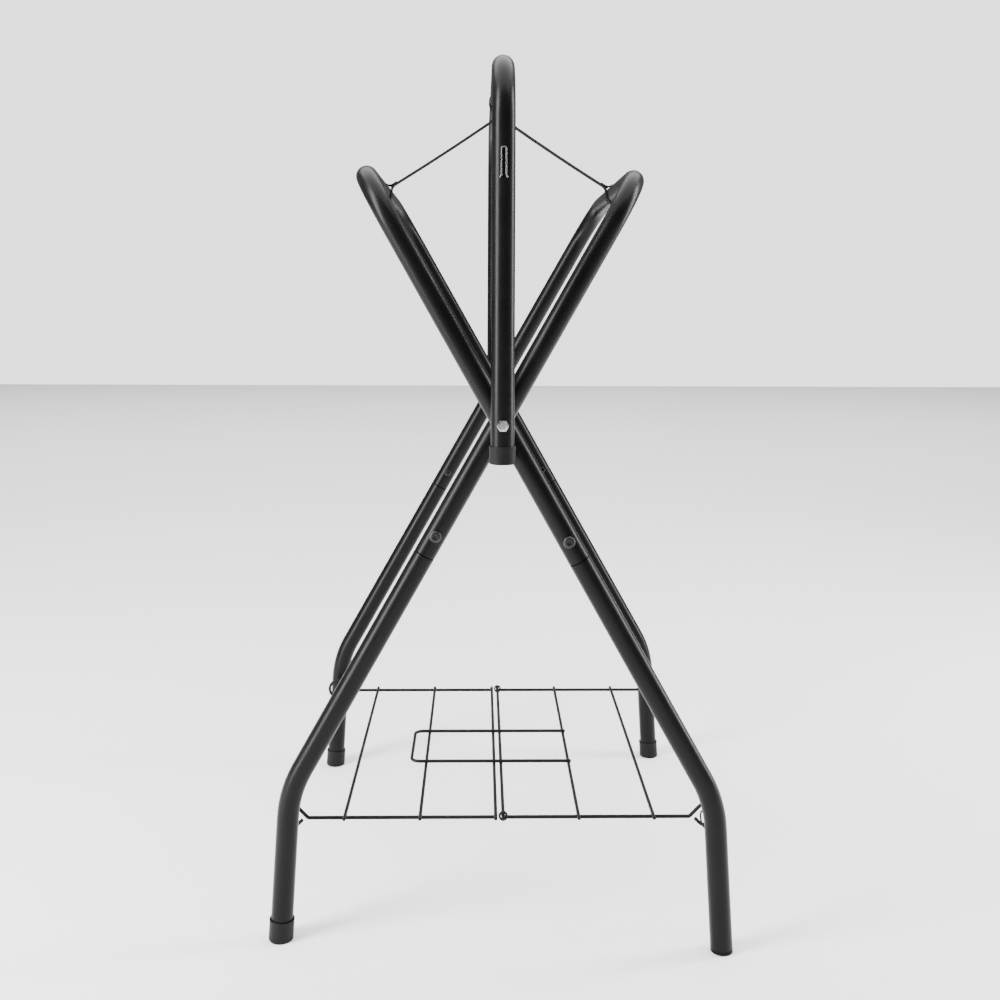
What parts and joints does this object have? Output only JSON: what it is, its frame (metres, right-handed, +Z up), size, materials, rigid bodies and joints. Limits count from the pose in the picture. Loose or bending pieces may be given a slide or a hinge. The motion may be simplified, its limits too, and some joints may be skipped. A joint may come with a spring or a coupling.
{
  "type": "folding saddle stand",
  "caption": "Folding saddle stand: a ridge hoop over two crossed tube frames, webbing limit straps and a fold-up wire shelf.",
  "frame": {"origin": "on the floor, midway between the two ends and the two sides of the stand as it stands open", "axes": "+X to the right across the ridge, +Y from the front end to the rear end along the ridge, +Z up"},
  "size_m": [0.5052, 0.6116, 0.9723],
  "materials": {
    "powder_coat": "satin black powder coat",
    "wire_coat": "satin black coated wire",
    "cap_plastic": "moulded black",
    "webbing": "woven black webbing",
    "zinc_steel": "zinc plated",
    "black_steel": "blackened"
  },
  "bodies": {
    "ridge": {"ridge_hoop": "powder_coat", "post_clip": "wire_coat", "strap_centre_loop": "webbing", "hoop_cap_front": "cap_plastic", "pivot_bolt_front": "zinc_steel", "pivot_nut_front": "zinc_steel", "spacer_outer_front": "cap_plastic", "spacer_inner_front": "cap_plastic", "hoop_cap_rear": "cap_plastic", "pivot_bolt_rear": "zinc_steel", "pivot_nut_rear": "zinc_steel", "spacer_outer_rear": "cap_plastic", "spacer_inner_rear": "cap_plastic"},
    "frame_a": {"upper_hoop_a": "powder_coat", "strap_left": "webbing", "lower_leg_a_front": "powder_coat", "leg_bolt_a_front": "black_steel", "leg_nut_a_front": "black_steel", "foot_plug_a_front": "cap_plastic", "shelf_eye_a_front": "wire_coat", "lower_leg_a_rear": "powder_coat", "leg_bolt_a_rear": "black_steel", "leg_nut_a_rear": "black_steel", "foot_cap_a_rear": "cap_plastic", "shelf_eye_a_rear": "wire_coat"},
    "frame_b": {"upper_hoop_b": "powder_coat", "strap_right": "webbing", "lower_leg_b_front": "powder_coat", "leg_bolt_b_front": "black_steel", "leg_nut_b_front": "black_steel", "foot_cap_b_front": "cap_plastic", "shelf_eye_b_front": "wire_coat", "lower_leg_b_rear": "powder_coat", "leg_bolt_b_rear": "black_steel", "leg_nut_b_rear": "black_steel", "foot_cap_b_rear": "cap_plastic", "shelf_eye_b_rear": "wire_coat"},
    "shelf_left": {"shelf_left": "wire_coat"},
    "shelf_right": {"shelf_right": "wire_coat", "shelf_stop_loop": "wire_coat"}
  },
  "joints": [
    {"name": "frame_b_fold", "type": "hinge", "parent": "ridge", "child": "frame_b", "pos_m": [0, 0, 0.569], "axis": [0, -1, 0], "range_deg": [0, 25.5], "deforming": ["strap_right"]},
    {"name": "frame_a_fold", "type": "hinge", "parent": "ridge", "child": "frame_a", "pos_m": [0, 0, 0.569], "axis": [0, 1, 0], "range_deg": [0, 25.5], "deforming": ["strap_left"]},
    {"name": "shelf_left_hinge", "type": "hinge", "parent": "frame_b", "child": "shelf_left", "pos_m": [-0.233, 0, 0.1215], "axis": [0, -1, 0], "range_deg": [0, 61.3]},
    {"name": "shelf_right_hinge", "type": "hinge", "parent": "shelf_left", "child": "shelf_right", "pos_m": [0, 0, 0.117], "axis": [0, 1, 0], "range_deg": [0, 173.6]}
  ],
  "couplings": [
    {"joint": "frame_a_fold", "follows": "frame_b_fold", "ratio": 1},
    {"joint": "shelf_left_hinge", "follows": "frame_b_fold", "ratio": 2.4026},
    {"joint": "shelf_right_hinge", "follows": "frame_b_fold", "ratio": 6.8051}
  ]
}
